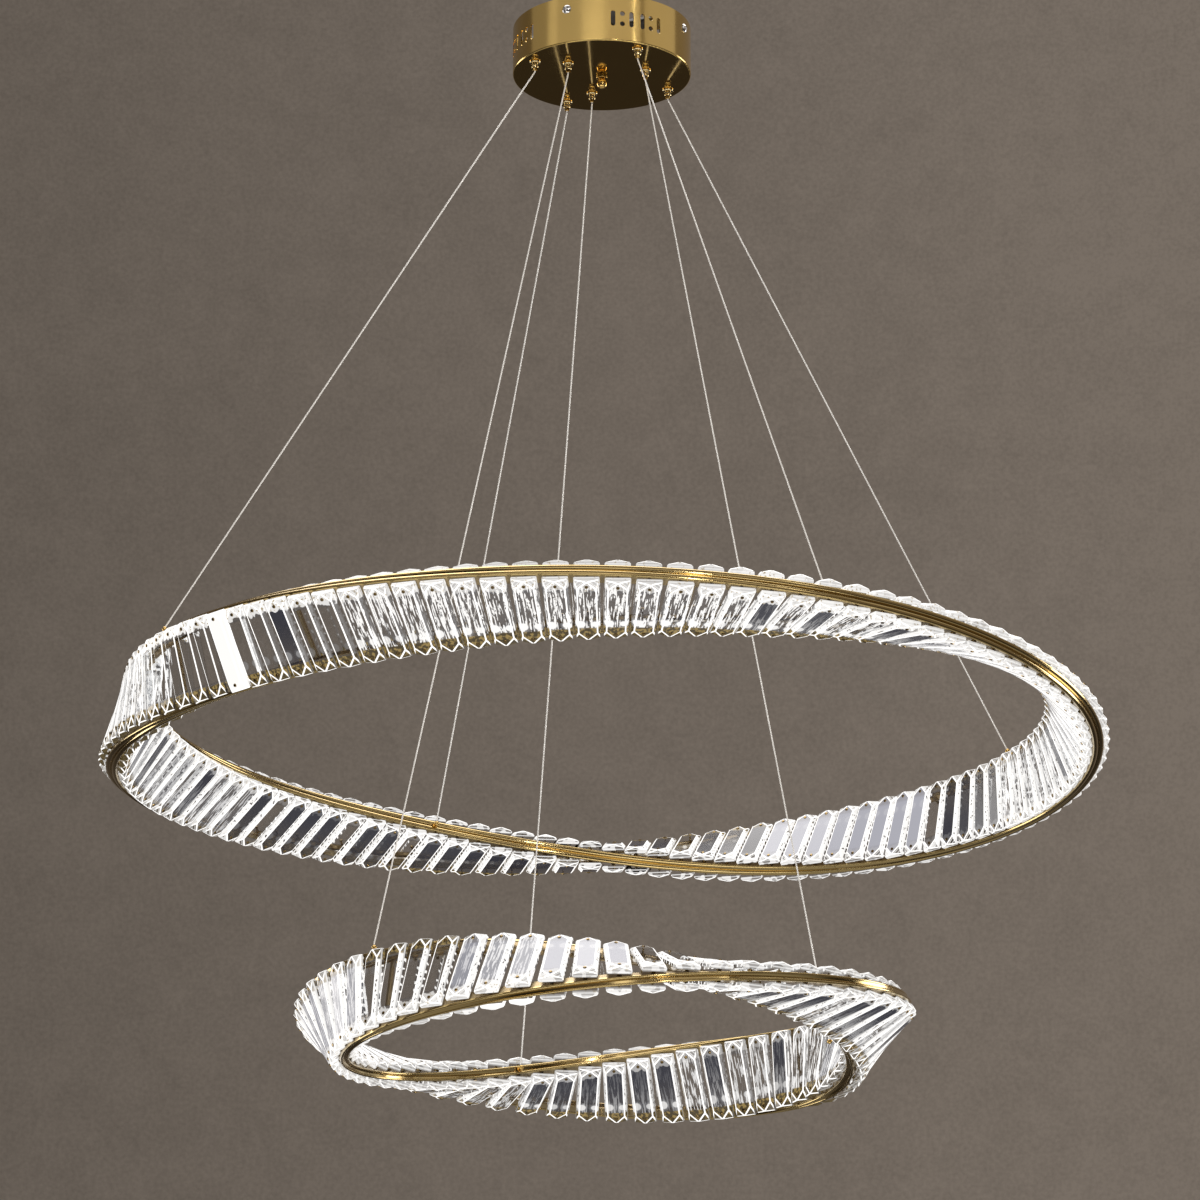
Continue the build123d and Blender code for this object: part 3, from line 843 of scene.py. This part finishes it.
class Crystal(Finish):
    """Clear glass that gives off light in a pattern fixed to the bar it is on."""

    def __init__(self, name):
        super().__init__(bpy.data.materials.new(name))
        self.owner.cycles.emission_sampling = "NONE"
        self.along, self.across, self.height = self.parts(self.stored("spot"))

    def stored(self, name, output="Vector"):
        return self.add("Attribute", {"attribute_name": name}, {}, output)

    def number(self, name):
        return self.stored(name, "Fac")

    def cloud(self, name):
        """Noise laid along the bar, different on every bar."""
        sizes, detail, shift = clouds[name]
        scaled = self.add("VectorMath", {"operation": "MULTIPLY"}, {
            0: self.stored("spot"), 1: tuple(1 / size for size in sizes)})
        dice = self.number("dice")
        away = self.add("CombineXYZ", {}, {"X": dice * 37 + shift, "Y": dice * 61, "Z": dice * 83})
        moved = self.add("VectorMath", {"operation": "ADD"}, {0: scaled, 1: away})
        return self.add("TexNoise", {}, {"Vector": moved, "Scale": 1.0, "Detail": detail})

    def patch(self, name):
        return self.step(self.cloud(name), *patches[name])

    def ends(self, glow, body):
        """A painted image of the gold channel at the heel, the wall's colour painted as glow over both
        channels, and the diodes' painted white light.
        """
        heel = self.step(self.number("lamp") * heel_shift - self.along, *heel_edge)
        heel = self.step(heel * self.number("heel"), 0.05, 0.60)
        # The wall's colour is painted as glow over both channels at the bar ends, in place of the view
        # through the glass.
        painted_wall_glow = self.step(self.along.size(), *wall_glow_edge) * (1 - self.number("shade")) * 0.9
        glow = self.mix(painted_wall_glow * (1 - self.brightness(glow) * 2), glow, wall_glow_colour)
        # The heel shows a painted image of the gold channel, darker towards the very end.
        painted_gold_image = self.mix(self.patch("painted_gold_image"), painted_gold_image_dark, painted_gold_image_light)
        painted_gold_image = self.mix(self.step(self.along * -1, *heel_dark_edge) * 0.8, painted_gold_image, painted_gold_image_dark)
        return self.lamps(self.mix(heel, glow, painted_gold_image)), body + painted_wall_glow + heel

    def lamps(self, glow):
        """The crown's painted white light with holes of the painted gold image, the diodes' painted images,
        and bars painted as lit from end to end.
        """
        crown = self.step(self.along + self.cloud("crown") * crown_wander, *crown_edge) * self.number("crown")
        glow = self.mix(crown, glow, painted_light_white)
        glow = self.mix(crown * self.patch("holes"), glow, painted_gold_image_light)
        down = self.along + diode_along
        over = self.across.size() - diode_across
        away = (down * down + over * over).root() - self.step(self.across, -0.1, 0.1) * diode_offset
        ball = self.step(away, *ball_edge) + self.step(away, *halo_edge) * halo_share
        glow = self.mix(ball * self.number("lamp"), glow, painted_light_white)
        return self.mix(self.number("blaze"), glow, painted_light_white)

    def streaks(self):
        """Painted white lines of light along the bar over a painted grey sheen, with dark dots of painted
        shade among them.
        """
        streak = self.number("streak")
        glow = self.mix(streak * 0.6, crystal_dark, painted_sheen_grey)
        glow = self.mix(self.step(streak * self.patch("lines"), 0.10, 0.45), glow, painted_light_white)
        return self.mix(self.patch("shade_specks") * streak, glow, crystal_shade)

    def brightness(self, colour):
        return self.add("RGBToBW", {}, {"Color": colour})

    def glass(self, glow, body, strength=1.0):
        """Clear as water but for what glows or has body, and quite clear seen from inside.

        It barely bends the view, so that what lies behind a bar is seen straight through it.
        """
        outside = 1 - self.add("NewGeometry", {}, {}, "Backfacing")
        seen = (self.brightness(glow) * 2.2 + body) * outside
        solid = self.add("BsdfPrincipled", {}, {
            "Base Color": crystal_shade, "Roughness": 0.25, "Emission Color": glow,
            "Emission Strength": strength})
        through = self.add("BsdfRefraction", {}, {"Color": crystal_water, "IOR": 1.01, "Roughness": 0.0})
        return self.surface(self.add("MixShader", {}, {0: seen, 1: through, 2: solid}))


def clear_facet():
    """The flat underside of a bar, which only the band sees."""
    crystal = Crystal("crystal_clear")
    return crystal.solid({
        "Base Color": crystal_water, "Roughness": 0.03, "IOR": 1.52,
        "Alpha": crystal.cloud("haze") * 0.04})


def flat_facet():
    """See-through, unless the bar has painted streaks of light, a painted lilac reflection of the room, or
    painted shade.
    """
    crystal = Crystal("crystal_flat")
    milk = crystal.step(crystal.number("milk"), 0.0, 0.65)
    glow = crystal.mix(milk, crystal.streaks(), painted_reflection_lilac)
    shade = crystal.number("shade") * crystal.step(crystal.along, *shade_run, *shade_levels)
    glow = crystal.mix(shade, glow, crystal_shade)
    return crystal.glass(*crystal.ends(glow, shade + milk))


def bevel_facet():
    """Bevels painted white with light, and side walls crossed by a chain of dark marks of painted shade that
    shows in the gaps.
    """
    crystal = Crystal("crystal_bevel")
    # How strongly the bar's bevels, corners and arrises are painted with white glints.
    frost = crystal.number("frost")
    wander = crystal.along + crystal.cloud("shade_dashes") * dash_wander
    shade_dashes = crystal.step(wander.to_and_fro(dash_half), *dash_edge)
    wall = crystal.step(crystal.height, *wall_height)
    dark = shade_dashes * wall * 0.9 + crystal.patch("shade_flecks") * (1 - wall)
    bright = crystal.step(frost - dark, 0.05, 0.45)
    glow = crystal.mix(bright, crystal.streaks(), painted_light_white)
    return crystal.glass(*crystal.ends(glow, dark * frost * 0.6))


def corner_facet():
    """A few painted lines of light along it, and filled with painted white light here and there."""
    crystal = Crystal("crystal_corner")
    over = crystal.parts(crystal.stored("lane"))[1]
    lines = crystal.step((over + line_shift).to_and_fro(line_half), *line_edge)
    glow = crystal.mix(lines * 0.6, crystal_dark, painted_light_white)
    glow = crystal.mix(crystal.patch("filled") * crystal.number("frost"), glow, painted_light_white)
    return crystal.glass(*crystal.ends(glow, 0.1))


def arris_facet():
    """The polished edges between facets, painted white as the brightest lines of the bar."""
    crystal = Crystal("crystal_arris")
    above = crystal.step(crystal.height, *arris_height)
    shoulder = crystal.step(crystal.across.size(), *shoulder_across)
    white = above * (1 - shoulder * (1 - crystal.number("frost")))
    glow = crystal.mix(white, crystal_dark, painted_light_white)
    return crystal.glass(crystal.lamps(glow), 0.0, 1.25)


finishes = {"clear": clear_facet(), "flat": flat_facet(), "bevel": bevel_facet(),
            "corner": corner_facet(), "arris": arris_facet()}

# How the bars of each ring are lit, all in painted light. Each row is a stretch of azimuths, then
# how much painted streaks of light, painted reflection of the room, painted shade, full painted
# light and painted white glints its bars have, and how bright the crown's painted white, the heel's
# painted image of the gold channel and the diodes' painted images are, each from 0 to 1. For shaded
# and fully lit bars it is the chance that a bar is so.
manners = ("streak", "milk", "shade", "blaze", "frost", "crown", "heel", "lamp")
chances = ("shade", "blaze")
bar_seed = 41
moods = {
    "upper": (
        (0, 26, 0.50, 0.10, 0.35, 0.00, 0.50, 0.5, 0.3, 0.3),
        (26, 42, 0.15, 0.05, 0.90, 0.00, 0.90, 0.1, 0.3, 0.0),
        (42, 66, 0.00, 0.95, 0.00, 0.00, 0.85, 0.1, 0.2, 0.1),
        (66, 72, 0.05, 0.30, 0.60, 0.00, 0.90, 0.1, 0.4, 0.0),
        (72, 92, 0.00, 0.05, 0.95, 0.00, 0.80, 0.1, 0.7, 0.0),
        (92, 118, 0.05, 0.05, 0.80, 0.00, 0.85, 0.1, 0.6, 0.0),
        (118, 145, 0.08, 0.05, 0.75, 0.00, 0.85, 0.1, 0.2, 0.1),
        (145, 180, 0.40, 0.20, 0.25, 0.00, 0.55, 0.4, 0.3, 0.1),
        (180, 206, 0.70, 0.05, 0.05, 0.00, 0.40, 0.7, 0.7, 0.0),
        (206, 223, 0.02, 0.00, 0.00, 0.00, 0.08, 1.0, 0.9, 0.0),
        (223, 226.5, 0.05, 0.00, 0.00, 1.00, 0.30, 1.0, 0.9, 0.0),
        (226.5, 240, 0.15, 0.00, 0.10, 0.00, 0.20, 0.9, 1.0, 0.2),
        (240, 250, 0.60, 0.00, 0.00, 0.00, 0.20, 0.6, 1.0, 0.7),
        (250, 283, 0.95, 0.05, 0.05, 0.00, 0.15, 0.6, 1.0, 1.0),
        (283, 305, 0.60, 0.15, 0.25, 0.00, 0.50, 0.8, 0.8, 0.7),
        (305, 360, 0.65, 0.20, 0.25, 0.00, 0.50, 0.6, 0.4, 0.3)),
    "lower": (
        (0, 30, 0.50, 0.25, 0.20, 0.00, 0.50, 0.5, 0.4, 0.2),
        (30, 75, 0.40, 0.05, 0.35, 0.00, 0.20, 0.3, 0.8, 0.5),
        (75, 110, 0.35, 0.05, 0.40, 0.00, 0.30, 0.4, 0.9, 0.6),
        (110, 165, 0.30, 0.10, 0.30, 0.00, 0.50, 0.4, 0.5, 0.4),
        (165, 218, 0.60, 0.40, 0.00, 0.00, 0.90, 0.6, 0.4, 0.2),
        (218, 238, 0.10, 0.10, 0.10, 0.00, 0.60, 0.6, 0.6, 0.1),
        (238, 256, 0.70, 0.45, 0.00, 0.10, 0.95, 0.6, 0.2, 0.3),
        (256, 274, 0.15, 0.90, 0.00, 0.00, 0.80, 0.4, 0.1, 0.2),
        (274, 300, 0.05, 0.10, 0.50, 0.00, 0.80, 0.4, 0.2, 0.1),
        (300, 360, 0.40, 0.10, 0.35, 0.00, 0.55, 0.4, 0.5, 0.2)),
}


def seat(band, azimuth):
    """How far a flat bar stands off the middle so that it clears the twisted edges."""
    half_span = math.degrees(bar_width / 2 / (band.radius - band_half))
    turns = [abs(band.twist(azimuth + edge) - band.twist(azimuth)) for edge in (-half_span, half_span)]
    return band.edge_half + bar_length / 2 * math.sin(max(turns)) + bar_clearance


def bar_stations(band, face):
    """The foot of every bar on one face of the band, the way across the band and the way out."""
    for azimuth in evenly(band.crystals):
        middle, width_way, face_way = band.station(azimuth)
        yield azimuth, middle + face_way * face * seat(band, azimuth) * mm, width_way, face_way * face


def lay_bars(band, face, name, draw):
    """Set a bar at every station of one face of the band."""
    bar = cut_bar()
    points, stored = [], {label: [] for label in ("across", "outward", "dice", *manners)}
    for azimuth, foot, width_way, out_way in bar_stations(band, face):
        points.append(foot)
        stored["across"].append(width_way)
        stored["outward"].append(out_way)
        stored["dice"].append(draw.random())
        mood = next(row[2:] for row in moods[band.name] if row[0] <= azimuth % 360 < row[1])
        for manner, amount in zip(manners, mood):
            if manner in chances:
                stored[manner].append(1.0 if draw.random() < amount else 0.0)
            else:
                stored[manner].append(amount * draw.uniform(0.7, 1.0))
    tree = Tree(name + "_row", {"Bar": bar, **finishes})
    laid = tree.lay("Bar")
    kind = tree.stored("facet", "INT")
    for mark, facet in enumerate(facets):
        chosen = tree.add("FunctionNodeCompare", {"data_type": "INT", "operation": "EQUAL"},
                          {2: kind, 3: mark})
        laid = tree.add("GeometryNodeSetMaterial", {}, {
            "Geometry": laid, "Selection": chosen, "Material": tree.given(facet)})
    bars = tree.run(laid, new_piece(name, points_mesh(name, points, **stored)))
    bpy.data.objects.remove(bar)
    return bars


for band in bands:
    draw = random.Random(bar_seed)
    for face, label in ((1, "front"), (-1, "back")):
        node = f"{band.name}_crystals_{label}"
        bars = lay_bars(band, face, node + "_cut", draw)
        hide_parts(node)
        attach(bars, band.name + "_ring")


# Bar screws: a small gilt dome-headed screw near each end of every bar, with the spacer
# below it that holds the bar off its channel.
screw_from_end = 6.0
screw_head = 1.8
screw_head_height = 1.1
screw_shank = 0.9
screw_sides = 8
spacer_radius = 2.4
spacer_foot = -2.0
spacer_top = -0.05

screw = turned("screw", [
    (spacer_radius, spacer_foot), (spacer_radius, spacer_top), (screw_shank, spacer_top),
    (screw_shank, bar_thickness), (screw_head, bar_thickness),
    (0.8 * screw_head, bar_thickness + 0.75 * screw_head_height),
    (0, bar_thickness + screw_head_height)], screw_sides)
# The screws are gold; their colour is darkened as painted shade, for the dark room their heads reflect.
screw_gold = polished_gold("screw_gold", (0.28, 0.20, 0.09), 0.16)
for band in bands:
    points, across, outward = [], [], []
    for face in (1, -1):
        for _, foot, width_way, out_way in bar_stations(band, face):
            for end in (1, -1):
                points.append(foot + width_way * end * (bar_length / 2 - screw_from_end) * mm)
                across.append(width_way)
                outward.append(out_way)
    screws = lay_all(band.name + "_bar_screws", screw, screw_gold, points,
                     across=across, outward=outward)
    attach(screws, band.name + "_ring")
bpy.data.objects.remove(screw)


# Wire grippers: seven turned barrels through the canopy's underside, each with a rounded
# flange against it and grooves below. They are bored for the wire and its release collar.
gripper_circles = {"upper": (76.0, (28.0, 118.0, 208.0, 298.0)), "lower": (46.0, (102.6, 222.6, 342.6))}
gripper_sides = 28
# Radius and height of each corner of its section, from the canopy's underside.
gripper_loop = (
    (0.95, 19.5), (0.95, 2.5), (2.3, 2.5), (2.3, -7.0), (3.0, -7.0), (3.3, -6.6), (3.3, -5.4),
    (2.8, -5.0), (2.8, -4.6), (3.3, -4.2), (3.3, -3.0), (2.9, -2.6), (2.9, -1.8), (4.6, -1.8),
    (5.2, -1.5), (5.5, -0.9), (5.2, -0.3), (4.8, -0.05), (3.3, -0.05), (3.3, 19.5))


def on_circle(circle, azimuth, height):
    where = math.radians(azimuth)
    return Vector((circle * math.cos(where), circle * math.sin(where), height)) * mm


gripper = turned("gripper", gripper_loop, gripper_sides, closed=True)
points = [on_circle(circle, azimuth, canopy_bottom)
          for circle, azimuths in gripper_circles.values() for azimuth in azimuths]
grippers = lay_all("gripper_barrels_turned", gripper, gripper_gold, points,
                   across=[Vector((1, 0, 0))] * len(points), outward=[Vector((0, 0, 1))] * len(points))
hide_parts("gripper_barrels")
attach(grippers, "canopy")
bpy.data.objects.remove(gripper)


# Suspension wires: light steel made brighter by a painted glow, drawn tight between gripper and anchor.
wire_radius = 0.7
wire_mouth = -60.85
wire_sides = 10
wire_rows = 60


def steel_with_painted_glow():
    finish = new_finish("wire_steel")
    lay = finish.noise(0.020)
    return finish.solid({
        "Base Color": finish.mix(lay, rgb((0.84, 0.83, 0.81)), rgb((0.92, 0.91, 0.89))),
        "Metallic": 0.35, "Roughness": lay * 0.05 + 0.36,
        # The emission is painted light: the wire glows a little so that it looks bright.
        "Emission Color": rgb((0.62, 0.59, 0.54)), "Emission Strength": 0.35})


def straight_wire(name, top, foot, material):
    """A round wire between two points, as a mesh in its final place."""
    way = (foot - top).normalized()
    side = way.orthogonal().normalized()
    other = way.cross(side)
    form = bmesh.new()
    rows = []
    for row in range(wire_rows + 1):
        middle = top.lerp(foot, row / wire_rows)
        ring = []
        for step in range(wire_sides):
            angle = 2 * math.pi * step / wire_sides
            ring.append(form.verts.new(
                middle + (side * math.cos(angle) + other * math.sin(angle)) * wire_radius * mm))
        rows.append(ring)
    for upper, lower in zip(rows, rows[1:]):
        for step in range(wire_sides):
            after = (step + 1) % wire_sides
            form.faces.new((upper[step], upper[after], lower[after], lower[step]))
    for ring in (rows[0], rows[-1]):
        form.faces.new(ring)
    mesh = bpy.data.meshes.new(name)
    finish_mesh(form, mesh)
    mesh.materials.append(material)
    return new_piece(name, mesh)


wire_steel = steel_with_painted_glow()
coat("wire_tails", wire_steel)
for band in bands:
    circle, azimuths = gripper_circles[band.name]
    for index, azimuth in enumerate(azimuths):
        node = f"{band.name}_wire_{index + 1}"
        low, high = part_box(node)
        top = on_circle(circle, azimuth, wire_mouth)
        # The wire's foot is the corner of its box that lies away from its gripper.
        foot = Vector((*(max(low[i], high[i], key=lambda side: abs(side - top[i])) for i in (0, 1)), low[2]))
        inset = (foot - top).normalized() * wire_radius * mm
        wire = straight_wire(node + "_drawn", top + inset, foot - inset, wire_steel)
        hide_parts(node)
        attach(wire, "canopy")
        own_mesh(wire)

final_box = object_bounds()
boxes = {"cad": cad_box, "visual": final_box}
{name: [list(corner) for corner in box] for name, box in boxes.items()}
